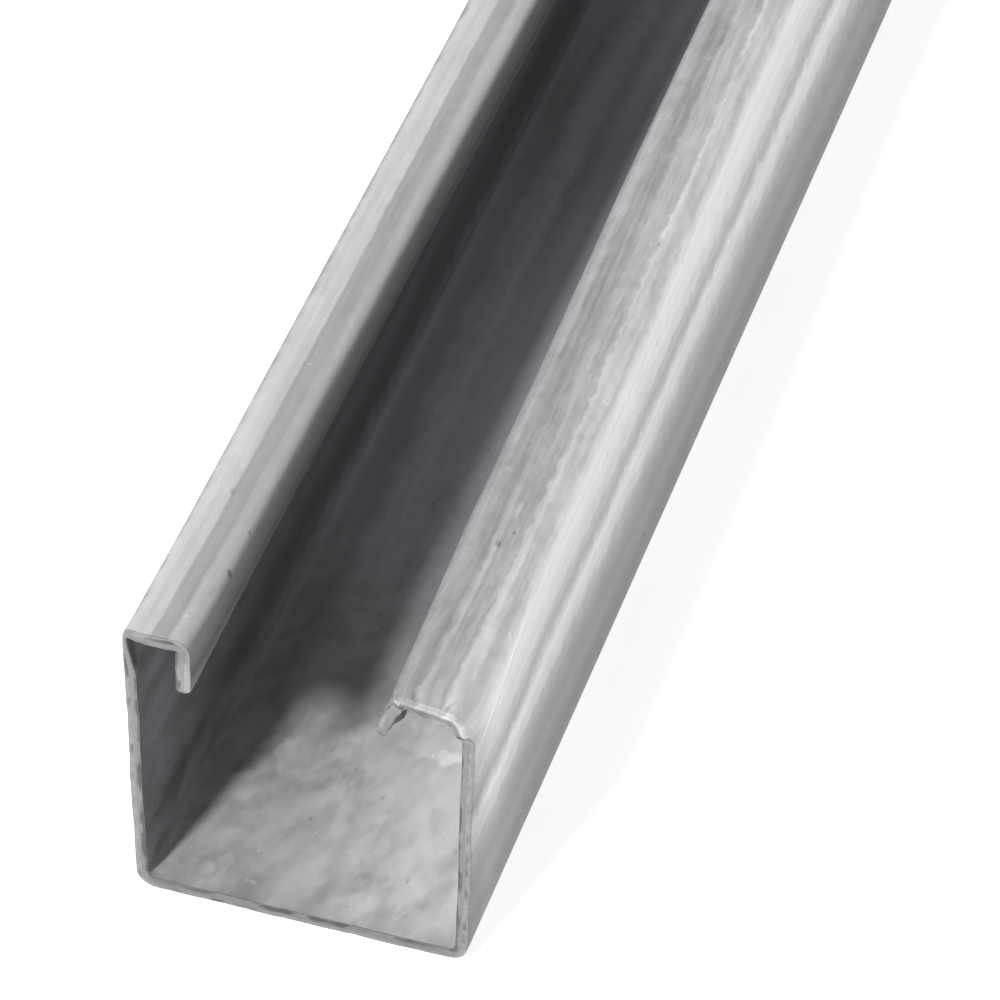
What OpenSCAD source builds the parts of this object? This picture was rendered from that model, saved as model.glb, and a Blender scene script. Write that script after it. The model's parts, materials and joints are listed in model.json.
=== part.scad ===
// Strut channel, 41 x 41 mm pattern, plain (unslotted) back, one cut length.
// One cold-rolled strip: back, two side walls, two inturned flanges and two
// downturned lips, all of one thickness, joined by round bends.
// It lies on its back with the slot up. The origin is on the underside of the
// back, midway between the walls, at half the length. +Y runs along the length.

/* [Channel] */
// Outside width across the two side walls
channel_w = 41.3; // [38:0.1:60]
// Outside height, back to the top of the flanges
channel_h = 41.3; // [20:0.1:85]
// Cut length of the stock
channel_l = 1000; // [100:10:6000]

/* [Strip] */
// Thickness of the rolled strip
strip_t = 1.5; // [1.2:0.1:2.7]
// Inside radius of every bend
bend_r = 1; // [0.6:0.1:2]

/* [Slot] */
// Clear width of the slot between the two lips
slot_w = 22.2; // [16:0.1:24]
// Depth of each lip, from the top of the flange to the lip's edge
lip_d = 7.2; // [6:0.1:9]

/* [Hidden] */
$fn = 64;
outer_r = bend_r + strip_t;
half_w = channel_w / 2;
flange_w = (channel_w - slot_w) / 2;
zinc = [0.72, 0.73, 0.75];

// A quarter of a ring: a 90 degree bend of the strip, about its own centre.
// It fills the quadrant that starts at the given angle.
module bend(start) {
  rotate([0, 0, start])
    intersection() {
      difference() {
        circle(r = outer_r);
        circle(r = bend_r);
      }
      square([outer_r, outer_r]);
    }
}

// A straight run of the strip, from one corner, of the given sides.
module run(x, z, w, h) {
  translate([x, z]) square([w, h]);
}

// The half of the section at +X, seen from the front: x across, y up.
module half_section() {
  wall_x = half_w - strip_t;
  top_z = channel_h - strip_t;
  slot_x = slot_w / 2;
  // back, to the middle
  run(0, 0, half_w - outer_r, strip_t);
  // bend from the back to the wall
  translate([half_w - outer_r, outer_r]) bend(270);
  // side wall
  run(wall_x, outer_r, strip_t, channel_h - 2 * outer_r);
  // bend from the wall to the flange
  translate([half_w - outer_r, channel_h - outer_r]) bend(0);
  // flange
  run(slot_x + outer_r, top_z, flange_w - 2 * outer_r, strip_t);
  // bend from the flange to the lip
  translate([slot_x + outer_r, channel_h - outer_r]) bend(90);
  // lip
  run(slot_x, channel_h - lip_d, strip_t, lip_d - outer_r);
}

module section() {
  half_section();
  mirror([1, 0]) half_section();
}

// The whole piece: the section run along the length, standing on its back.
module channel() {
  color(zinc)
    translate([0, channel_l / 2, 0])
      rotate([90, 0, 0])
        linear_extrude(height = channel_l) section();
}

channel();
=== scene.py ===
import json
import math

import bpy
import numpy as np
from mathutils import Matrix, Vector

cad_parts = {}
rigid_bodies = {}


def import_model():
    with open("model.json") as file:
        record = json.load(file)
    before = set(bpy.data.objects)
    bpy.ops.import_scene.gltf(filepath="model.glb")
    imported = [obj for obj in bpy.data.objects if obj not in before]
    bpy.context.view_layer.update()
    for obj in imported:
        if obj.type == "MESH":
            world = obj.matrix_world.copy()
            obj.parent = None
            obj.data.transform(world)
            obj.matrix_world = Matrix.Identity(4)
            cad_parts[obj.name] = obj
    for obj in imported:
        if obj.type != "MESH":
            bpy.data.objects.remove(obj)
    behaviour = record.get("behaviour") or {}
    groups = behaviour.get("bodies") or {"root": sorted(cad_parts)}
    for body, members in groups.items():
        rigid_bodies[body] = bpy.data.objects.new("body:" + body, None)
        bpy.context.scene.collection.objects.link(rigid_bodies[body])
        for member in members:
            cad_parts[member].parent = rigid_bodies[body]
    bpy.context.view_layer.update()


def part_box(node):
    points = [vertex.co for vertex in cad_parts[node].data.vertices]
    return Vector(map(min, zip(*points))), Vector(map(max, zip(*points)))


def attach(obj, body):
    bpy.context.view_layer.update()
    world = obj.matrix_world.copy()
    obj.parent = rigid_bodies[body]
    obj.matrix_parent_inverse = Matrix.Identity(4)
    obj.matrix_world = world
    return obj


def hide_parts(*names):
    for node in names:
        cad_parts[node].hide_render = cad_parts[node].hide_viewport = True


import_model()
lo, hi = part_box("channel")
scene = bpy.context.scene

# ---------------------------------------------------------------- sizes, mm
W = (hi.x - lo.x) * 1000.0
H = (hi.z - lo.z) * 1000.0
L = (hi.y - lo.y) * 1000.0
T = 1.5            # strip
RI = 1.0           # inside bend radius
RO = RI + T
RC = RI + T / 2
SLOT = 22.2
LIP = 7.2
Y0 = lo.y * 1000.0  # the front end

# ---------------------------------------------------------------- camera
AZ, EL, ROLL = math.radians(17.26), math.radians(41.94), math.radians(0.61)
FOCAL_PX, DIST, TX, TY = 6298.4, 737.0, -23.591, -34.717


def make_camera():
    back = Vector((math.sin(AZ) * math.cos(EL), -math.cos(AZ) * math.cos(EL), math.sin(EL)))
    f = -back
    r = f.cross(Vector((0, 0, 1))).normalized()
    u = r.cross(f)
    r2 = math.cos(ROLL) * r + math.sin(ROLL) * u
    u2 = -math.sin(ROLL) * r + math.cos(ROLL) * u
    ref = Vector((0.0, Y0, H / 2))
    pos = (ref - TX * r2 - TY * u2 - DIST * f) * 0.001
    cam = bpy.data.objects.new("camera", bpy.data.cameras.new("camera"))
    scene.collection.objects.link(cam)
    cam.data.sensor_width = 36.0
    cam.data.lens = FOCAL_PX / 1000.0 * 36.0
    cam.data.clip_start, cam.data.clip_end = 0.01, 100.0
    m = Matrix((r2, u2, -f)).transposed().to_4x4()
    m.translation = pos
    cam.matrix_world = m
    scene.camera = cam


make_camera()

# ---------------------------------------------------------------- smooth noise in numpy
rng = np.random.default_rng(7)


def noise1(x, wave, seed):
    """Smooth 1-D noise of about -1..1 with the given wavelength."""
    g = np.random.default_rng(seed).uniform(-1, 1, 4096)
    t = np.asarray(x, float) / wave + 1000.0
    i = np.floor(t).astype(int)
    f = t - i
    f = f * f * (3 - 2 * f)
    return g[i % 4096] * (1 - f) + g[(i + 1) % 4096] * f


def noise2(x, y, wx, wy, seed):
    """Smooth 2-D noise of about -1..1."""
    g = np.random.default_rng(seed).uniform(-1, 1, (256, 256))
    a = np.asarray(x, float) / wx + 100.0
    b = np.asarray(y, float) / wy + 100.0
    i, j = np.floor(a).astype(int), np.floor(b).astype(int)
    u, v = a - i, b - j
    u, v = u * u * u * (u * (6 * u - 15) + 10), v * v * v * (v * (6 * v - 15) + 10)
    i0, i1, j0, j1 = i % 256, (i + 1) % 256, j % 256, (j + 1) % 256
    return (g[i0, j0] * (1 - u) + g[i1, j0] * u) * (1 - v) + (g[i0, j1] * (1 - u) + g[i1, j1] * u) * v


def bell(x, c, w):
    return np.exp(-(((x - c) / w) ** 2))


def fade(d, length, power=1.0):
    return np.exp(-((np.asarray(d, float) / length) ** power))


# ---------------------------------------------------------------- stations along the length
near = [0, 0.05, 0.12, 0.22, 0.36, 0.55, 0.8, 1.1, 1.45, 1.9, 2.5, 3.3, 4.4, 5.8, 7.5, 9.5, 12, 15, 18.5, 22.5, 27, 32, 38, 45, 53, 62, 71]
mid = list(np.arange(80, L - 79, 10.0))
Y = np.array(near + mid + [L - d for d in reversed(near)])   # distance from the front end
NS = len(Y)
dF, dR = Y, L - Y                                             # distance from each end

# ---------------------------------------------------------------- the half section, as a developed strip
FLANGE = (W - SLOT) / 2 - 2 * RO
STEPS = {"back": 24, "bend1": 8, "wall": 56, "bend2": 10, "flange": 12, "bend3": 10, "lip": 10}
names = list(STEPS)


def interp(y, pts):
    """Smooth interpolation through given (distance, value) points."""
    xs, vs = zip(*pts)
    y = np.clip(y, xs[0], xs[-1])
    i = np.clip(np.searchsorted(xs, y, side="right") - 1, 0, len(xs) - 2)
    xs, vs = np.array(xs, float), np.array(vs, float)
    t = (y - xs[i]) / (xs[i + 1] - xs[i])
    t = t * t * (3 - 2 * t)
    return vs[i] * (1 - t) + vs[i + 1] * t


def half(side):
    """Centreline, direction and place along the strip of one half, from the middle of the back to the lip's edge.
    side +1 is the +X half. Returns x, z, heading, s, part index: arrays (stations, points)."""
    if side > 0:
        wide = interp(Y, [(0, 0.42), (30, 0.40), (150, 0.35), (340, 0.0), (L, 0.0)])
        lean = interp(Y, [(0, 0.72), (40, 0.15), (150, -1.3), (340, 0.0), (L - 60, 0.0), (L, 0.5)])
        extra = interp(Y, [(0, 1.2), (40, 1.4), (90, 1.45), (140, 1.05), (340, 0.0), (L, 0.0)])
        liptilt = -interp(Y, [(0, 26.0), (1.0, 21.0), (3.4, 6.0), (9, 3.0), (45, 0.0), (L - 20, 0.0), (L, 2.0)])
        tight2 = interp(Y, [(0, -1.1), (8, -0.8), (28, 0.0), (L, 0.0)])
        tight3 = interp(Y, [(0, 0.55), (6, 0.0), (L, 0.0)])
        longer = interp(Y, [(0, 0.0), (L, 0.0)])
    else:
        wide = interp(Y, [(0, 0.08), (70, 0.0), (L, 0.0)])
        lean = interp(Y, [(0, 0.72), (150, 0.0), (L - 60, 0.0), (L, 0.6)])
        extra = interp(Y, [(0, -1.0), (60, -1.0), (150, -0.65), (340, 0.0), (L, 0.0)])
        liptilt = interp(Y, [(0, 1.5), (6, 0.0), (L - 15, 0.0), (L, -3.0)])
        tight2 = interp(Y, [(0, 0.7), (5, 0.45), (24, 0.0), (L, 0.0)])
        tight3 = interp(Y, [(0, 0.55), (8, 0.0), (L, 0.0)])
        longer = interp(Y, [(0, 0.5), (7, 0.0), (L, 0.0)])
    lean_rad = np.arctan(lean / (H - RO))
    turn = {
        "bend1": math.pi / 2 - lean_rad,
        "bend2": math.pi / 2 + lean_rad,
        "bend3": math.pi / 2 + np.radians(liptilt),
    }
    length = {
        "back": W / 2 - RO + wide,
        "bend1": np.full(NS, RC * math.pi / 2),
        "wall": H - 2 * RO + tight2,
        "bend2": (RC - tight2) * math.pi / 2,
        "flange": FLANGE + extra + tight2 + tight3,
        "bend3": (RC - tight3) * math.pi / 2,
        "lip": LIP - RO + tight3 + longer,
    }
    nominal = {"back": W / 2 - RO, "bend1": RC * math.pi / 2, "wall": H - 2 * RO, "bend2": RC * math.pi / 2,
               "flange": FLANGE, "bend3": RC * math.pi / 2, "lip": LIP - RO}
    x = [np.zeros(NS)]
    z = [np.full(NS, T / 2)]
    th = [np.zeros(NS)]
    s = [np.zeros(NS)]
    part = [0]
    for k, (name, n) in enumerate(STEPS.items()):
        dth = turn.get(name, np.zeros(NS)) / n
        h = length[name] / n
        for _ in range(n):
            mid_th = th[-1] + dth / 2
            chord = h * np.sinc(dth / 2 / math.pi)
            x.append(x[-1] + chord * np.cos(mid_th))
            z.append(z[-1] + chord * np.sin(mid_th))
            th.append(th[-1] + dth)
            s.append(s[-1] + (nominal[name] + (length[name] - nominal[name] if name in ("back", "flange") else 0.0)) / n)
            part.append(k)
    return [np.stack(v, 1) for v in (x, z, th, s)] + [np.array(part)]


xr, zr, thr, sr, pr = half(1)
xl, zl, thl, sl, pl = half(-1)
# whole centreline from the left lip's edge to the right lip's edge
X = np.concatenate([-xl[:, :0:-1], xr], 1)
Z = np.concatenate([zl[:, :0:-1], zr], 1)
TH = np.concatenate([-thl[:, :0:-1], thr], 1)     # heading of travel, left edge to right edge
S = np.concatenate([-sl[:, :0:-1], sr], 1)
PART = np.concatenate([pl[:0:-1], pr])
SIDE = np.concatenate([-np.ones(len(pl) - 1), np.ones(len(pr))])
NP = X.shape[1]
NX, NZ = -np.sin(TH), np.cos(TH)                  # points to the inside of every bend
YY = np.repeat((Y0 + Y)[:, None], NP, 1)
DF = np.repeat(dF[:, None], NP, 1)
DR = np.repeat(dR[:, None], NP, 1)
is_back, is_wall, is_flange, is_lip = [(PART == names.index(n))[None, :] for n in ("back", "wall", "flange", "lip")]
right, left = (SIDE > 0)[None, :], (SIDE < 0)[None, :]

# ---------------------------------------------------------------- relief of the strip, + is towards the inside
S_WALL0 = W / 2 - RO + RC * math.pi / 2            # where the wall begins
S_FL0 = S_WALL0 + (H - 2 * RO) + RC * math.pi / 2  # where the flange begins
wz = np.abs(S) - S_WALL0                           # height up the wall's flat
R = np.zeros_like(X)
# long shallow waves left by the rolls and by handling
R += 0.035 * noise2(S, YY, 9.0, 70.0, 11) + 0.02 * noise2(S, YY, 4.0, 38.0, 12)
# roll marks up the walls: shallow grooves and ridges that run the whole length
wander = 0.5 * noise1(YY[:, :1] * 1.0, 120.0, 21) + 0.15 * noise1(YY[:, :1], 30.0, 22)
for c, w, a in ((25.6, 0.9, 0.085), (28.9, 1.3, -0.05), (19.5, 2.2, 0.06), (11.0, 3.0, -0.05), (33.6, 1.0, 0.05)):
    R += np.where(right, a * bell(wz, c + wander, w) * (0.75 + 0.35 * noise1(YY, 85.0, int(c * 10))), 0)
for c, w, a in ((24.4, 1.0, 0.06), (15.0, 2.0, -0.05), (31.0, 1.2, 0.05)):
    R += np.where(left, a * bell(wz, c - wander, w) * (0.75 + 0.35 * noise1(YY, 85.0, int(c * 10))), 0)

# ---------------------------------------------------------------- the two faces of the strip, and their cut ends
def rim(d, r):
    """How far a face draws in at distance d from the cut, for a rounded edge of radius r."""
    t = np.clip(d / r, 0, 1)
    return r * (1 - np.sqrt(np.clip(1 - (1 - t) ** 2, 0, 1)))


def ramp(v, a, b):
    t = np.clip((v - a) / (b - a), 0, 1)
    return t * t * (3 - 2 * t)


rolled = right * ramp(np.abs(S), S_FL0 - 4.2, S_FL0 - 2.8)         # the +X flange is rolled over by the saw at the front
inner = T / 2 + R - rim(DF, 0.12) - rim(DR, 0.14)
outer = -T / 2 + R + rim(DF, 0.18) * (1 - rolled) + rim(DF, 0.32) * rolled + rim(DR, 0.22)
# the cut: the faces droop inwards over the last millimetre or two, unevenly
droop = (0.07 + 0.05 * noise1(S, 2.3, 31)) * fade(DF, 0.9, 1.4)
droop += rolled * (0.80 + 0.20 * noise1(S, 1.4, 32) + 0.12 * noise1(S, 0.7, 34)) * fade(DF, 2.0, 1.5)
droop += (0.10 + 0.06 * noise1(S, 2.7, 33)) * fade(DR, 0.9, 1.4)
inner, outer = inner + droop, outer + droop
# the -X corner is left square by the cut, and its wall is torn thin just below the flange
corner = left * bell(np.abs(S), S_FL0 - 1.0, 0.85) * fade(DF, 4.0)
outer -= 0.34 * corner
thin = left * np.clip((np.abs(S) - S_FL0 + 7.4) / 5.2, 0, 1) * ramp(np.abs(S), S_FL0 - 1.0, S_FL0 - 2.0)
inner -= 0.95 * thin * fade(DF, 1.8, 1.4)
# the -X lip is swollen at the cut
inner += 0.32 * left * ramp(np.abs(S), S_FL0 + FLANGE + 1.2, S_FL0 + FLANGE + 3.0) * fade(DF, 3.0, 1.5)
# the cut isn't quite square, and its edge is ragged
yshift = (0.05 * noise1(S, 6.0, 41) + 0.04 * noise1(S, 1.1, 42)) * fade(DF, 1.2)
yshift -= (0.49 + 0.0065 * X) * np.clip(1 - Z / 38, 0, 1) * fade(DF, 9.0)
yshift -= right * 1.0 * np.clip((S_FL0 + FLANGE + 1.5 - np.abs(S)) / (FLANGE + 2.5), 0, 1) * ramp(np.abs(S), S_FL0 - 6.0, S_FL0 - 1.0) * fade(DF, 9.0)
yshift -= (0.06 * noise1(S, 6.0, 43) + 0.035 * noise1(S, 1.1, 44)) * fade(DR, 1.2)
yshift += 0.004 * X * fade(DR, 9.0)
# burr thrown up on the inner edge of the cut
burr = 0.10 * np.clip(noise1(S, 1.3, 51) + 0.15, 0, 1) ** 2 + rolled * 0.42 * np.clip(noise1(S, 0.9, 52) + 0.1, 0, 1)
burr += left * is_flange * 0.16 * np.clip(noise1(S, 1.1, 53) + 0.3, 0, 1)
inner_y = YY + yshift - burr * fade(DF, 0.25, 1.5) + 0.7 * burr * fade(DR, 0.25, 1.5)
outer_y = YY + yshift - left * is_flange * 0.14 * np.clip(noise1(S, 0.9, 54) + 0.2, 0, 1) * fade(DF, 0.25, 1.5)

XI, ZI = X + NX * inner, Z + NZ * inner
XO, ZO = X + NX * outer, Z + NZ * outer

# ---------------------------------------------------------------- rings: outer face, right edge, inner face, left edge
K = 4  # points round each strip edge, and across the cut face


def edge_points(j):
    """K points across the strip's edge at section point j, outer to inner, bulging along the strip."""
    sgn = 1.0 if j > 0 else -1.0
    out = []
    for m in range(1, K + 1):
        t = m / (K + 1)
        bulge = 0.30 * math.sin(math.pi * t) ** 0.6
        a = XO[:, j] * (1 - t) + XI[:, j] * t + sgn * np.cos(TH[:, j]) * bulge
        b = ZO[:, j] * (1 - t) + ZI[:, j] * t + sgn * np.sin(TH[:, j]) * bulge
        c = outer_y[:, j] * (1 - t) + inner_y[:, j] * t
        out.append(np.stack([a, c, b], 1))
    return out


right_edge = edge_points(NP - 1)
left_edge = edge_points(0)
ring = []
for j in range(NP):
    ring.append(np.stack([XO[:, j], outer_y[:, j], ZO[:, j]], 1))
ring += right_edge
for j in range(NP - 1, -1, -1):
    ring.append(np.stack([XI[:, j], inner_y[:, j], ZI[:, j]], 1))
ring += left_edge[::-1]
ring = np.stack(ring, 1)                      # (stations, ring points, 3)
NR = ring.shape[1]
verts = [ring.reshape(-1, 3)]
faces = []
idx = np.arange(NS * NR).reshape(NS, NR)
nxt = np.roll(idx, -1, axis=1)
quads = np.stack([idx[:-1], nxt[:-1], nxt[1:], idx[1:]], -1).reshape(-1, 4)
faces.append(quads)
count = NS * NR


def cut_face(st, seed, flip):
    """The end of the strip at station st: a grid across the thickness, a little uneven."""
    global count
    grid = np.zeros((NP, K + 2), int)
    grid[:, 0] = idx[st, :NP]
    grid[:, K + 1] = idx[st, NP + K: 2 * NP + K][::-1]
    grid[NP - 1, 1:K + 1] = idx[st, NP:NP + K]
    grid[0, 1:K + 1] = idx[st, 2 * NP + K:][::-1]
    a = np.stack([XO[st], outer_y[st], ZO[st]], 1)
    b = np.stack([XI[st], inner_y[st], ZI[st]], 1)
    sgn = -1.0 if st == 0 else 1.0
    new = []
    for m in range(1, K + 1):
        t = m / (K + 1)
        p = a * (1 - t) + b * t
        p[:, 1] = (Y0 if st == 0 else Y0 + L) + yshift[st] + sgn * (0.05 + 0.02 * noise1(S[st], 0.8, seed + m))
        new.append(p[1:-1])
        grid[1:-1, m] = count + np.arange(NP - 2)
        count += NP - 2
    verts.append(np.concatenate(new))
    q = np.stack([grid[:-1, :-1], grid[:-1, 1:], grid[1:, 1:], grid[1:, :-1]], -1).reshape(-1, 4)
    faces.append(q[:, ::-1] if flip else q)


cut_face(0, 61, False)
cut_face(NS - 1, 71, True)
verts = np.concatenate(verts) * 0.001
faces = np.concatenate(faces)

# strip coordinates for the material: mm across the strip, mm along it, 0 outer face to 1 inner face; and the cut faces
def edge_strip(j):
    sgn = 1.0 if j > 0 else -1.0
    out = []
    for m in range(1, K + 1):
        out.append(np.stack([S[:, j] + sgn * 0.3, Y, np.full(NS, m / (K + 1))], 1))
    return out


col = [np.stack([S[:, j], Y, np.zeros(NS)], 1) for j in range(NP)] + edge_strip(NP - 1)
col += [np.stack([S[:, j], Y, np.ones(NS)], 1) for j in range(NP - 1, -1, -1)] + edge_strip(0)[::-1]
strip = [np.stack(col, 1).reshape(-1, 3)]
# 0 coated face, up to 0.2 coated but rougher and darkened as painted shade, from 0.4 bare cut steel, above 1 bare steel
# darkened as painted shade at the cut's inner arris
bare = 1.0 - rolled[0] * (1 - ramp(np.abs(S[0]), 68.0, 69.5))   # along the section, at the front
torn_thin = thin[0] > 0.02
cut = np.zeros((NS, NR))
outer_ids, inner_ids = np.arange(NP), NP + K + np.arange(NP)[::-1]
for st, d in [(k, dF[k]) for k in range(NS) if dF[k] < 0.2] + [(k, dR[k]) for k in range(NS) if dR[k] < 0.2]:
    amount = 0.95 * (1 - d / 0.24)
    front = dF[st] < 1
    cut[st, outer_ids] = amount * (bare if front else 1.0)
    cut[st, inner_ids] = 1.25 * amount * (bare if front else 1.0)
    cut[st, NP:NP + K] = 1.0 if d == 0 else 0.3 * amount
    cut[st, 2 * NP + K:] = 1.0 if d == 0 else 0.3 * amount
# the rolled rim's coating: rougher, and darkened as painted shade over its highlight
for st in [k for k in range(NS) if dF[k] < 2.0]:
    rim_dull_and_shade = 0.085 * (1 - dF[st] / 2.0) * rolled[0]
    cut[st, outer_ids] = np.maximum(cut[st, outer_ids], rim_dull_and_shade)
    # painted shade: the torn-thin wall's inner edge gets the dark arris value
    cut[st, inner_ids] = np.where(torn_thin & (dF[st] < 1.3), 1.3, cut[st, inner_ids])
cut = [cut.reshape(-1)]
for st in (0, NS - 1):
    for m in range(1, K + 1):
        strip.append(np.stack([S[st, 1:-1], np.full(NP - 2, Y[st]), np.full(NP - 2, m / (K + 1))], 1))
        cut.append((bare if st == 0 else np.ones(NP))[1:-1])
strip, cut = np.concatenate(strip), np.concatenate(cut)

# a map of the developed strip for baking: the outer and the inner face, each in two half lengths, with the cut faces beside them
MAP = 596.0
run = np.concatenate([[0.0], np.cumsum(np.linalg.norm(np.diff(ring[NS // 2], axis=0, append=ring[NS // 2, :1]), axis=1))])
turn_at = NP + K                                     # the ring's corner where the inner face begins
half_at = int(np.argmin(np.abs(Y - L / 2)))
st_id, r_id = np.meshgrid(np.arange(NS - 1), np.arange(NR), indexing="ij")
is_inner, is_rear = r_id >= turn_at, st_id >= half_at
base_v = np.where(is_inner, -run[turn_at] + 2 * 148.5, 0.0) + np.where(is_rear, 148.5, 0.0) + 1.0
base_u = np.where(is_rear, -L / 2, 0.0) + 1.0
corners_uv = []
for ds, dr in ((0, 0), (0, 1), (1, 1), (1, 0)):
    corners_uv.append(np.stack([base_u + Y[st_id + ds], base_v + run[r_id + dr]], -1))
uv = [np.stack(corners_uv, 2).reshape(-1, 2)]
for st, u0, flip in ((0, 520.0, False), (NS - 1, 550.0, True)):
    gu, gv = np.meshgrid(np.arange(K + 2) * 2.4 + u0, (S[st] - S[st, 0]) * 3.8 + 2.0)
    g = np.stack([gu, gv], -1)
    q = np.stack([g[:-1, :-1], g[:-1, 1:], g[1:, 1:], g[1:, :-1]], 2).reshape(-1, 4, 2)
    uv.append((q[:, ::-1] if flip else q).reshape(-1, 2))
uv = np.concatenate(uv) / MAP

mesh = bpy.data.meshes.new("channel_body")
mesh.from_pydata(verts.tolist(), [], faces.tolist())
mesh.update()
mesh.attributes.new("strip", "FLOAT_VECTOR", "POINT").data.foreach_set("vector", strip.ravel())
mesh.attributes.new("cut", "FLOAT", "POINT").data.foreach_set("value", cut)
mesh.uv_layers.new(name="OFBake").data.foreach_set("uv", uv.ravel())
body = bpy.data.objects.new("channel_body", mesh)
scene.collection.objects.link(body)
import bmesh

bm = bmesh.new()
bm.from_mesh(mesh)
bmesh.ops.recalc_face_normals(bm, faces=bm.faces)
bad = [e for e in bm.edges if not e.is_manifold]
if bad or bm.calc_volume() <= 0:
    raise RuntimeError(f"the channel's mesh isn't closed: {len(bad)} open edges, volume {bm.calc_volume()}")
bm.to_mesh(mesh)
bm.free()
mesh.polygons.foreach_set("use_smooth", np.ones(len(mesh.polygons), bool))
mesh.update()
print("channel_body:", len(mesh.polygons) * 2, "triangles")

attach(body, "root")
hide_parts("channel")


# ---------------------------------------------------------------- materials
def new_material(name):
    m = bpy.data.materials.new(name)
    m.use_nodes = True
    nt = m.node_tree
    nt.nodes.clear()
    out = nt.nodes.new("ShaderNodeOutputMaterial")
    bsdf = nt.nodes.new("ShaderNodeBsdfPrincipled")
    nt.links.new(bsdf.outputs[0], out.inputs[0])
    return m, nt, bsdf


class Nodes:
    """Short names for building a node tree."""

    def __init__(self, nt):
        self.nt = nt

    def put(self, sock, v):
        if isinstance(v, bpy.types.NodeSocket):
            self.nt.links.new(v, sock)
        else:
            sock.default_value = v

    def new(self, kind, **props):
        n = self.nt.nodes.new(kind)
        for k, v in props.items():
            setattr(n, k, v)
        return n

    def attr(self, name):
        return self.new("ShaderNodeAttribute", attribute_type="GEOMETRY", attribute_name=name)

    def math(self, op, a, b=0.0, c=None, clamp=False):
        n = self.new("ShaderNodeMath", operation=op, use_clamp=clamp)
        self.put(n.inputs[0], a)
        self.put(n.inputs[1], b)
        if c is not None:
            self.put(n.inputs[2], c)
        return n.outputs[0]

    def xyz(self, x, y, z):
        n = self.new("ShaderNodeCombineXYZ")
        for k, v in enumerate((x, y, z)):
            self.put(n.inputs[k], v)
        return n.outputs[0]

    def stretch(self, vec, sx, sy, sz=1.0, off=(0.0, 0.0, 0.0)):
        """Strip coordinates divided by a pattern's size in mm across, along and between the faces."""
        n = self.new("ShaderNodeVectorMath", operation="MULTIPLY_ADD")
        self.put(n.inputs[0], vec)
        n.inputs[1].default_value = (1.0 / sx, 1.0 / sy, sz)
        n.inputs[2].default_value = off
        return n.outputs[0]

    def noise(self, vec, detail=2.0, rough=0.5, dist=0.0):
        n = self.new("ShaderNodeTexNoise", noise_dimensions="2D")
        self.put(n.inputs["Vector"], vec)
        n.inputs["Scale"].default_value = 1.0
        n.inputs["Detail"].default_value = detail
        n.inputs["Roughness"].default_value = rough
        n.inputs["Distortion"].default_value = dist
        return n.outputs["Fac"]

    def cells(self, vec, feature="F1", rand=1.0):
        n = self.new("ShaderNodeTexVoronoi", feature=feature, voronoi_dimensions="2D")
        self.put(n.inputs["Vector"], vec)
        n.inputs["Scale"].default_value = 1.0
        n.inputs["Randomness"].default_value = rand
        return n

    def span(self, v, a, b, lo=0.0, hi=1.0, smooth=True):
        n = self.new("ShaderNodeMapRange", interpolation_type="SMOOTHSTEP" if smooth else "LINEAR", clamp=True)
        for k, x in enumerate((v, a, b, lo, hi)):
            self.put(n.inputs[k], x)
        return n.outputs[0]

    def curve(self, v, pts, lo, hi):
        """A grey ramp through (mm, gain) points between lo and hi mm; gains are held as gain / 2."""
        f = self.span(v, lo, hi, smooth=False)
        n = self.new("ShaderNodeValToRGB")
        n.color_ramp.interpolation = "LINEAR"
        e = n.color_ramp.elements
        pts = sorted(pts)
        e[0].position = (pts[0][0] - lo) / (hi - lo)
        e[0].color = (pts[0][1] / 2,) * 3 + (1,)
        e[1].position = (pts[-1][0] - lo) / (hi - lo)
        e[1].color = (pts[-1][1] / 2,) * 3 + (1,)
        for p, g in pts[1:-1]:
            x = e.new((p - lo) / (hi - lo))
            x.color = (g / 2,) * 3 + (1,)
        self.nt.links.new(f, n.inputs[0])
        return self.math("MULTIPLY", n.outputs[0], 2.0)

    def mix(self, f, a, b, kind="RGBA", blend="MIX"):
        n = self.new("ShaderNodeMix", data_type=kind, clamp_factor=True)
        ins = {"FLOAT": (0, 2, 3), "RGBA": (0, 6, 7)}[kind]
        if kind == "RGBA":
            n.blend_type = blend
        for k, v in zip(ins, (f, a, b)):
            self.put(n.inputs[k], v)
        return n.outputs[{"FLOAT": 0, "RGBA": 2}[kind]]

    def wsum(self, *pairs, base=0.0):
        """base + sum of weight * (value - 0.5)."""
        out = None
        total = base
        for w, v in pairs:
            total -= 0.5 * w
        for w, v in pairs:
            out = self.math("MULTIPLY_ADD", v, w, total if out is None else out)
        return out


# single marks, some of them painted light and shade as noted: place across the strip, place along it, half width, half
# length, 1 inside or 0 outside; change of tone
MARKS = [
    ((-3.7, 28.0, 1.4, 3.0, 1), 0.22),
    ((8.6, 30.3, 1.9, 1.3, 1), 0.30),
    ((-0.6, 23.5, 1.6, 2.2, 1), -0.14),
    ((-11.4, 5.0, 1.2, 2.2, 1), 0.14),
    ((-7.2, 3.1, 0.8, 0.5, 1), 0.26),
    ((5.0, 2.7, 0.6, 0.3, 1), -0.22),
    ((10.4, 4.6, 0.3, 0.7, 1), -0.22),
    ((63.6, 27.6, 0.40, 0.6, 0), -0.36),
    ((62.3, 29.9, 0.32, 0.45, 0), -0.28),
    ((63.0, 34.0, 0.35, 1.4, 0), 0.25),
    ((-65.8, 14.2, 0.5, 0.5, 0), -0.55),
    # painted light: brighter inside floor at its front -X corner
    ((-14.8, 2.0, 4.6, 2.8, 1), 0.30),
    # painted light: the lit pool on the inside floor reaches further back on the +X side
    ((7.0, 33.0, 4.6, 4.0, 1), 0.27),
    # painted shadow: the soft shadow edge across the inside floor
    ((-12.6, 22.5, 3.0, 6.5, 1), -0.18),
    ((9.0, 6.0, 4.0, 2.8, 1), -0.14),
    # painted shade: the inside -X wall darker near the front
    ((-25.5, 9.0, 4.5, 10.0, 1), -0.22),
]
GLOSS = 0.46

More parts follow.
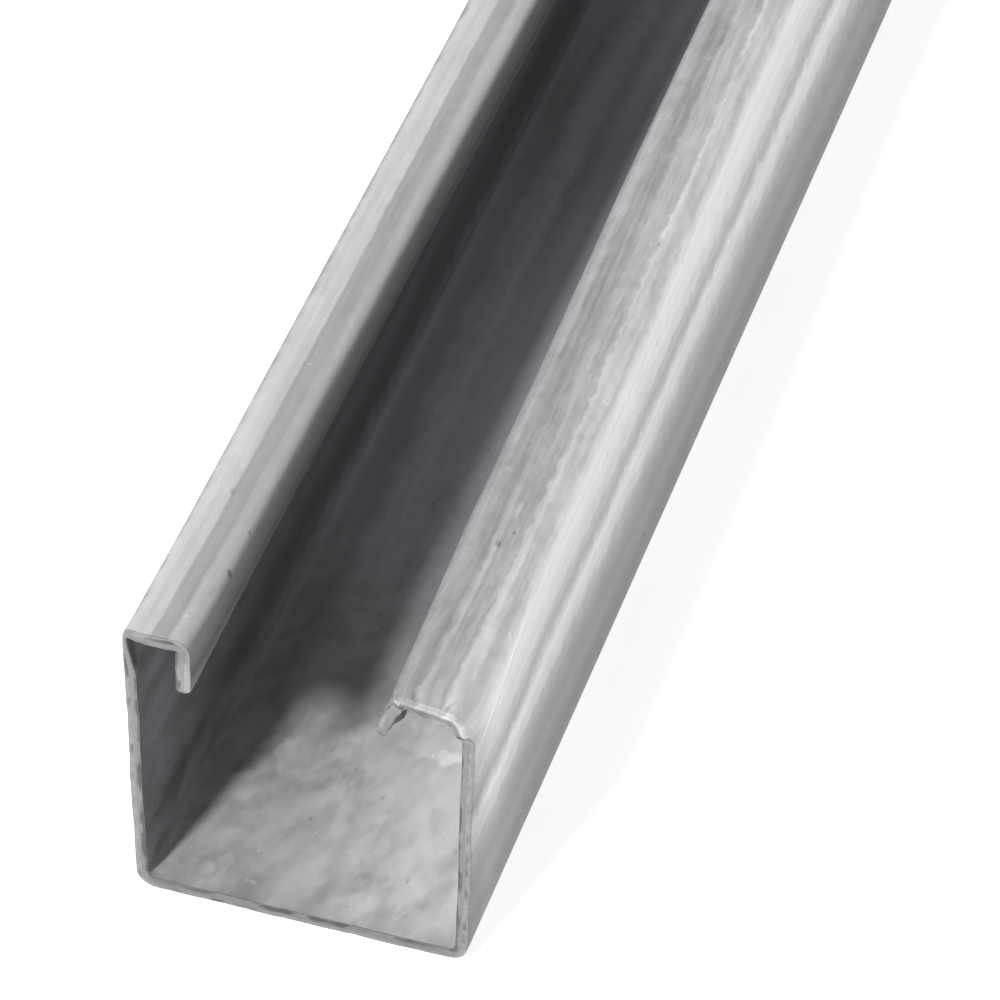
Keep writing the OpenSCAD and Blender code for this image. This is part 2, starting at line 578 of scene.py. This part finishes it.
zinc, nt, bsdf = new_material("zinc")
N = Nodes(nt)
P = N.attr("strip").outputs["Vector"]
CUT = N.attr("cut").outputs["Fac"]
sep = N.new("ShaderNodeSeparateXYZ")
nt.links.new(P, sep.inputs[0])
s_mm, y_mm, face = sep.outputs
f_in = N.span(face, 0.35, 0.65)
thick = N.math("MULTIPLY_ADD", face, T, y_mm)
E = N.xyz(s_mm, thick, 0.0)                                     # runs on round the strip's edges
V = N.xyz(N.math("MULTIPLY_ADD", f_in, 61.0, s_mm), thick, 0.0)  # each face has patterns of its own

near_cut = N.math("MINIMUM", y_mm, N.math("SUBTRACT", L, y_mm))
smear_and_shade_zone = N.math("MULTIPLY", f_in, N.span(near_cut, 30.0, 75.0, 1.0, 0.0))   # inside, near the ends: smudged by handling, and darkened there as painted shade

# patterns, all in mm on the developed strip
warp = N.noise(N.stretch(V, 1.6, 2.2, off=(31.0, 9.0, 0)), 1.0, 0.5)
jag = N.noise(N.stretch(V, 6.0, 2.8, off=(17.0, 2.0, 0)), 1.3, 0.5)      # makes the bands' edges ragged
wander = N.noise(N.stretch(V, 30.0, 45.0, off=(13.0, 5.0, 0)), 1.0, 0.4)
cloud = N.noise(N.stretch(V, 11.0, 26.0, off=(5.0, 13.0, 0)), 2.0, 0.55)
fine = N.noise(N.stretch(V, 0.50, 11.0), 1.4, 0.5)               # short hairlines
# broad streaks along the strip, wider and softer on the inner face
ragged = N.math("MULTIPLY_ADD", jag, 0.45, N.math("MULTIPLY_ADD", N.math("MULTIPLY", s_mm, N.mix(f_in, 1.0, 0.24, "FLOAT")), 1 / 1.15, N.math("MULTIPLY", f_in, 47.0)))
streak = N.noise(N.xyz(ragged, N.math("MULTIPLY", thick, 1 / 70.0), 0.0), 1.0, 0.5)
# patches a few mm long with fairly plain tones
patch = N.noise(N.stretch(V, 0.95, 2.9, off=(41.0, 3.0, 0)), 2.0, 0.55)
# smudges: soft swirls, drawn out at a slant on the inner face
slant = N.xyz(N.math("MULTIPLY_ADD", N.math("MULTIPLY", f_in, thick), -0.40, N.math("MULTIPLY_ADD", f_in, 61.0, s_mm)), thick, 0.0)
bent = N.new("ShaderNodeVectorMath", operation="ADD")
nt.links.new(N.stretch(slant, 4.6, 7.5, off=(21.0, 3.0, 0)), bent.inputs[0])
nt.links.new(N.xyz(N.math("MULTIPLY", warp, 0.3), N.math("MULTIPLY", cloud, 2.4), 0.0), bent.inputs[1])
smudge = N.noise(bent.outputs[0], 1.6, 0.5)

# polished and dull bands that the forming rolls leave along the strip, together with painted light and shade; their
# edges wander and are slightly ragged
is_left = N.math("LESS_THAN", s_mm, 0.0)
jag_mm = N.mix(is_left, N.span(s_mm, 56.0, 60.0, 2.6, 1.2), N.span(s_mm, -60.0, -56.0, 0.2, 2.4), "FLOAT")
sj = N.math("ADD", N.math("MULTIPLY", N.wsum((1.0, jag)), jag_mm), N.math("MULTIPLY", N.wsum((1.0, wander)), N.mix(is_left, 1.2, 0.5, "FLOAT")))
sb = N.math("ADD", s_mm, sj)
# painted light and shade in these gains: the +X wall darker low down, the walls brighter high up and at the top bends,
# the -X lip's face dark, the inside walls dark and the inside floor bright
right_pts = [(0, 0.90), (17, 0.78), (20, 0.56), (22, 0.43), (24, 0.37), (28, 0.46), (31, 0.39), (34, 0.485), (37.2, 0.67),
             (38.0, 0.86), (42.1, 1.09), (42.6, 0.90), (43.6, 0.89), (43.9, 0.67), (45.7, 0.545), (46.0, 0.63), (48.0, 0.69),
             (48.4, 0.84), (53, 1.06), (58.1, 1.08), (58.3, 0.98), (59.2, 0.91), (59.5, 0.98), (60.6, 1.11), (60.8, 0.83),
             (63.9, 0.79), (64.1, 0.66), (65.4, 0.62), (66.2, 0.65), (67.4, 0.81), (74, 0.8)]
left_pts = [(0, 0.90), (18, 0.84), (20, 0.68), (24, 0.68), (33, 0.60), (36, 0.72), (40, 0.76), (44, 0.58), (49, 0.66), (54, 0.54),
            (56, 0.30), (58, 0.31), (58.6, 0.62), (59.2, 1.13), (61.85, 1.03), (62.05, 0.71), (64.0, 0.67), (64.2, 0.91), (65.4, 0.89),
            (65.6, 0.82), (66.3, 0.555), (67.6, 0.47), (69, 0.42), (70, 0.27), (71.5, 0.48), (76, 0.42)]
inner_pts = [(-76, 0.5), (-55, 0.48), (-53, 0.41), (-48, 0.45), (-44, 0.42), (-32, 0.45), (-30, 0.415), (-27, 0.41), (-25, 0.46),
             (-23.4, 0.58), (-22.2, 0.80), (-21, 0.90), (-19.4, 0.88), (-17, 0.74), (-15.5, 0.75), (-14, 1.0), (-12.5, 1.22),
             (-11, 1.16), (-9.5, 0.95), (-8, 1.03), (-6, 1.13), (-3.5, 1.07), (-1, 1.12), (2.5, 1.04), (5.5, 1.35), (8, 1.24),
             (12, 1.17), (14.5, 1.37), (17, 1.25), (21, 0.75), (24, 0.46), (76, 0.46)]
sabs = N.math("ABSOLUTE", sb)
bands_out = N.mix(is_left, N.curve(sabs, right_pts, 0, 76), N.curve(sabs, left_pts, 0, 76), "FLOAT")
bands_in = N.curve(sb, inner_pts, -76, 76)
bands_and_painted_light = N.mix(f_in, bands_out, bands_in, "FLOAT")

# dark pits and light specks, sparse
crooked = N.new("ShaderNodeVectorMath", operation="ADD")
nt.links.new(N.stretch(V, 3.6, 5.2, off=(2.0, 4.0, 0)), crooked.inputs[0])
nt.links.new(N.xyz(N.math("MULTIPLY", patch, 0.30), N.math("MULTIPLY", warp, 0.30), 0.0), crooked.inputs[1])
v1 = N.cells(crooked.outputs[0])
rnd = N.new("ShaderNodeSeparateColor")
nt.links.new(v1.outputs["Color"], rnd.inputs[0])
pit = N.math("MULTIPLY", N.span(v1.outputs["Distance"], 0.03, 0.11, 1.0, 0.0), N.math("GREATER_THAN", rnd.outputs[0], 0.975))
speck = N.math("MULTIPLY", N.span(v1.outputs["Distance"], 0.04, 0.12, 1.0, 0.0), N.math("GREATER_THAN", rnd.outputs[1], 0.97))


def scratches(angle, wide, long, off, thin, patch, keep):
    """Thin handling scratches: where a stretched noise crosses its middle, kept only in patches."""
    rot = N.new("ShaderNodeVectorRotate", rotation_type="Z_AXIS")
    N.put(rot.inputs["Vector"], V)
    rot.inputs["Angle"].default_value = math.radians(angle)
    n = N.noise(N.stretch(rot.outputs[0], wide, long, off=off), 0.0)
    line = N.span(N.math("ABSOLUTE", N.math("SUBTRACT", n, 0.5)), 0.0, thin, 1.0, 0.0)
    return N.math("MULTIPLY", line, N.span(patch, keep, keep + 0.06))


scr = scratches(24.0, 1.6, 22.0, (4.0, 5.0, 0), 0.014, cloud, 0.56)


rough_small, rough_large = N.wsum((1.2, warp), (1.6, patch)), N.wsum((1.3, warp), (1.1, smudge))


def mark(s0, y0, rs, ry, inside):
    """A single soft-edged mark at that place on one face."""
    off = N.new("ShaderNodeVectorMath", operation="MULTIPLY_ADD")
    nt.links.new(P, off.inputs[0])
    off.inputs[1].default_value = (1 / rs, 1 / ry, 6.0)
    off.inputs[2].default_value = (-s0 / rs, -y0 / ry, -6.0 * inside)
    d = N.new("ShaderNodeVectorMath", operation="LENGTH")
    nt.links.new(off.outputs[0], d.inputs[0])
    rough = rough_small if rs < 2.5 else rough_large
    return N.span(N.math("ADD", d.outputs["Value"], rough), 0.55 if rs < 2.5 else 0.35, 1.2, 1.0, 0.0)


# tone of the coating: fairly plain patches and streaks with clear edges outside, soft smudges inside
plain_patch = N.span(patch, 0.43, 0.57)
plain_streak = N.span(streak, 0.41, 0.59)
plain_smudge = N.span(smudge, 0.40, 0.60)
plain_fine = N.span(fine, 0.42, 0.58)
busy = N.mix(is_left, N.span(sabs, 57.0, 60.0, 0.60, 0.88), 0.38, "FLOAT")
tone_out = N.math("MULTIPLY_ADD", N.wsum((0.08, plain_patch), (0.10, plain_fine), (0.13, plain_streak), (0.20, streak), (0.08, plain_smudge), (0.22, cloud)), busy, 1.0)
tone_in = N.wsum((0.04, plain_patch), (0.10, plain_streak), (0.40, streak), (0.03, fine), (0.15, cloud), base=1.0)
tone_in = N.math("ADD", tone_in, N.math("MULTIPLY", N.math("MULTIPLY_ADD", smear_and_shade_zone, 0.85, 0.15), N.wsum((0.10, plain_smudge), (0.36, smudge))))
tone = N.mix(f_in, tone_out, tone_in, "FLOAT")
tone = N.math("MULTIPLY_ADD", pit, -0.26, tone)
tone = N.math("MULTIPLY_ADD", speck, 0.22, tone)
tone = N.math("MULTIPLY_ADD", scr, 0.12, tone)
for args, amount in MARKS:
    tone = N.math("MULTIPLY_ADD", mark(*args), amount, tone)
# painted highlight: a bright line that runs slanting back from the right front corner, along the edge of the bend's
# highlight
bend_highlight_line = N.span(N.math("ABSOLUTE", N.math("SUBTRACT", N.math("MULTIPLY_ADD", y_mm, -0.215, s_mm), 53.2)), 0.12, 0.60, 1.0, 0.0)
bend_highlight_line = N.math("MULTIPLY", bend_highlight_line, N.math("MULTIPLY", N.math("SUBTRACT", 1.0, f_in), N.span(y_mm, 16.0, 26.0, 1.0, 0.0)))
tone = N.math("MULTIPLY_ADD", bend_highlight_line, 0.22, tone)
cut_end_shade = N.mix(f_in, N.mix(is_left, N.span(sabs, 56.0, 59.0, 0.66, 0.86), N.span(sabs, 56.0, 59.0, 0.66, 1.0), "FLOAT"), 0.86, "FLOAT")   # painted shade: darker within a few mm of each cut, on the walls most
tone = N.math("MULTIPLY", tone, N.span(N.math("ADD", near_cut, N.wsum((3.0, smudge))), 0.3, 8.0, cut_end_shade, 1.0))
# painted shade: the inside is darkened near the ends, most on the -X side and at its lower corner
inside_end_shade = N.curve(s_mm, [(-76, 0.20), (-50, 0.20), (-40, 0.28), (-22, 0.36), (-19, 0.28), (-1, 0.27), (8, 0.12), (76, 0.12)], -76, 76)
tone = N.math("MULTIPLY", tone, N.math("SUBTRACT", 1.0, N.math("MULTIPLY", smear_and_shade_zone, inside_end_shade)))
shade = N.math("MULTIPLY", N.span(near_cut, 25.0, 55.0), N.math("MULTIPLY", f_in, N.span(s_mm, -6.0, -1.5)))
tone = N.math("MULTIPLY", tone, N.math("MULTIPLY_ADD", shade, -0.36, 1.0))
# painted shade: the coating darkens where CUT rises towards 0.2, over the rolled rim's highlight and beside the bare
# cut
tone = N.math("MULTIPLY", tone, N.span(N.math("ADD", CUT, N.wsum((0.25, patch))), 0.045, 0.16, 1.0, 0.45))
tone = N.math("MULTIPLY", tone, bands_and_painted_light)
zinc_out = N.mix(N.span(smudge, 0.35, 0.65), (0.447, 0.453, 0.457, 1), (0.459, 0.456, 0.467, 1))
zinc_in = N.mix(N.math("MULTIPLY", smear_and_shade_zone, N.span(s_mm, -24.0, -18.0)), (0.455, 0.447, 0.480, 1), (0.450, 0.449, 0.458, 1))
zinc_rgb = N.mix(f_in, zinc_out, zinc_in)
tone3 = N.new("ShaderNodeVectorMath", operation="SCALE")
nt.links.new(zinc_rgb, tone3.inputs[0])
nt.links.new(tone, tone3.inputs["Scale"])
# bare steel of the cut: dull, with the marks of the blade and a torn grain, and painted shade along its inner arris
saw = N.noise(N.stretch(E, 0.20, 1.1, off=(3.0, 0, 0)), 2.0, 0.65)
torn = N.noise(N.stretch(E, 1.5, 0.8, off=(8.0, 0, 0)), 1.0, 0.6)
cutv = N.wsum((0.45, saw), (0.32, torn), (0.06, N.span(torn, 0.40, 0.60)), base=1.0)
# painted shade along the cut's inner arris, where CUT is above 1
cutv = N.math("MULTIPLY", cutv, N.span(N.math("ADD", CUT, N.wsum((0.9, smudge))), 1.0, 1.2, 1.0, 0.45))
cutv = N.math("MULTIPLY", cutv, N.span(N.math("ADD", face, N.wsum((0.8, torn))), 0.40, 0.75, 1.06, 0.88))
cutv = N.math("MULTIPLY", cutv, N.span(N.math("ABSOLUTE", s_mm), 17.0, 21.0, 0.83, 1.0))
cutv = N.math("MULTIPLY", cutv, N.span(s_mm, -71.0, -67.0, 1.22, 1.0))
cut_rgb = N.new("ShaderNodeVectorMath", operation="SCALE")
cut_rgb.inputs[0].default_value = (0.200, 0.200, 0.205)
nt.links.new(cutv, cut_rgb.inputs["Scale"])
cutm = N.span(N.math("ADD", CUT, N.wsum((0.7, torn))), 0.34, 0.52)
nt.links.new(N.mix(cutm, tone3.outputs[0], cut_rgb.outputs[0]), bsdf.inputs["Base Color"])
nt.links.new(N.mix(cutm, 0.14, 0.22, "FLOAT"), bsdf.inputs["Metallic"])
bsdf.inputs["Specular IOR Level"].default_value = 0.30
# gloss: the polished bands shine, smudges and pits are dull
gloss = N.wsum((0.10, smudge), (0.06, plain_streak), (0.05, plain_patch), (0.08, cloud), base=GLOSS)
bend_in = N.math("MULTIPLY", f_in, N.span(N.math("ABSOLUTE", N.math("SUBTRACT", N.math("ABSOLUTE", s_mm), 19.5)), 0.8, 2.6, 0.34, 0.0))
gloss = N.math("ADD", gloss, bend_in)                            # dull in the corners
gloss = N.math("MULTIPLY_ADD", N.math("SUBTRACT", bands_and_painted_light, 1.0), -0.06, gloss)
gloss = N.math("MULTIPLY_ADD", pit, 0.12, gloss)
gloss = N.math("MAXIMUM", gloss, 0.30)
gloss = N.mix(N.span(CUT, 0.0, 0.14), gloss, N.wsum((0.25, saw), base=0.60), "FLOAT")
nt.links.new(gloss, bsdf.inputs["Roughness"])
# bump, height in units of 0.02 mm
h = N.mix(f_in, N.wsum((0.5, fine), (1.4, streak), (0.8, jag)), N.wsum((1.7, streak), (0.5, jag)), "FLOAT")
h = N.mix(N.span(CUT, 0.34, 0.52), h, N.wsum((1.5, saw)), "FLOAT")
bump = N.new("ShaderNodeBump")
bump.inputs["Strength"].default_value = 1.0
bump.inputs["Distance"].default_value = 0.00002
nt.links.new(h, bump.inputs["Height"])
nt.links.new(bump.outputs[0], bsdf.inputs["Normal"])
mesh.materials.append(zinc)

# ---------------------------------------------------------------- floor and light
floor_mat, fnt, fb = new_material("floor")
floor_mat.cycles.emission_sampling = "NONE"          # a wide, even glow needs no light samples of its own
fb.inputs["Base Color"].default_value = (0.86, 0.86, 0.86, 1)
fb.inputs["Roughness"].default_value = 0.9
fb.inputs["Specular IOR Level"].default_value = 0.2
fb.inputs["Emission Color"].default_value = (1, 1, 1, 1)
fb.inputs["Emission Strength"].default_value = 0.62
fm = bpy.data.meshes.new("floor")
E = 40.0
fm.from_pydata([(-E, -E, -0.0002), (E, -E, -0.0002), (E, E, -0.0002), (-E, E, -0.0002)], [], [(0, 1, 2, 3)])
fm.materials.append(floor_mat)
floor = bpy.data.objects.new("floor", fm)
scene.collection.objects.link(floor)

world = bpy.data.worlds.new("studio")
scene.world = world
world.use_nodes = True
wn = world.node_tree
bg = wn.nodes["Background"]
bg.inputs[1].default_value = 1.0
wc = wn.nodes.new("ShaderNodeTexCoord")
wx = wn.nodes.new("ShaderNodeSeparateXYZ")
wr = wn.nodes.new("ShaderNodeValToRGB")
wn.links.new(wc.outputs["Generated"], wx.inputs[0])
wn.links.new(wx.outputs["Z"], wr.inputs[0])
wb = wn.nodes.new("ShaderNodeMapRange")             # the room is brighter behind the object (+Y)
wb.interpolation_type = "SMOOTHSTEP"
for k, v in enumerate((0.0, 0.0, 0.8, 1.0, 1.5)):
    if k:
        wb.inputs[k].default_value = v
wn.links.new(wx.outputs["Y"], wb.inputs[0])
ws = wn.nodes.new("ShaderNodeVectorMath")
ws.operation = "SCALE"
wn.links.new(wr.outputs[0], ws.inputs[0])
wr2 = wn.nodes.new("ShaderNodeMapRange")            # and brighter on its right (+X)
wr2.interpolation_type = "SMOOTHSTEP"
for k, v in enumerate((0.0, -0.1, 0.8, 1.0, 1.55)):
    if k:
        wr2.inputs[k].default_value = v
wn.links.new(wx.outputs["X"], wr2.inputs[0])
wm = wn.nodes.new("ShaderNodeMath")
wm.operation = "MULTIPLY"
wn.links.new(wb.outputs[0], wm.inputs[0])
wn.links.new(wr2.outputs[0], wm.inputs[1])
wn.links.new(wm.outputs[0], ws.inputs["Scale"])
wn.links.new(ws.outputs[0], bg.inputs[0])
ramp = wr.color_ramp.elements
ramp[0].position, ramp[0].color = 0.0, (0.80, 0.80, 0.80, 1)
ramp[1].position, ramp[1].color = 0.55, (0.305, 0.304, 0.315, 1)
for p, c in ((0.12, (0.70, 0.70, 0.70, 1)), (0.30, (0.38, 0.38, 0.39, 1))):
    e = ramp.new(p)
    e.color = c


def sun(name, az, el, strength, angle):
    """A distant soft light, seen from the object at that azimuth and elevation."""
    d = bpy.data.lights.new(name, "SUN")
    d.energy = strength
    d.angle = math.radians(angle)
    o = bpy.data.objects.new(name, d)
    a, e = math.radians(az), math.radians(el)
    back = Vector((math.sin(a) * math.cos(e), -math.cos(a) * math.cos(e), math.sin(e)))
    o.location = back * 2.0
    o.rotation_mode = "QUATERNION"
    o.rotation_quaternion = (-back).to_track_quat("-Z", "Y")
    scene.collection.objects.link(o)
    return o


sun("key", -16.0, 46.0, 4.0, 6.0)

scene.view_settings.view_transform = "Standard"
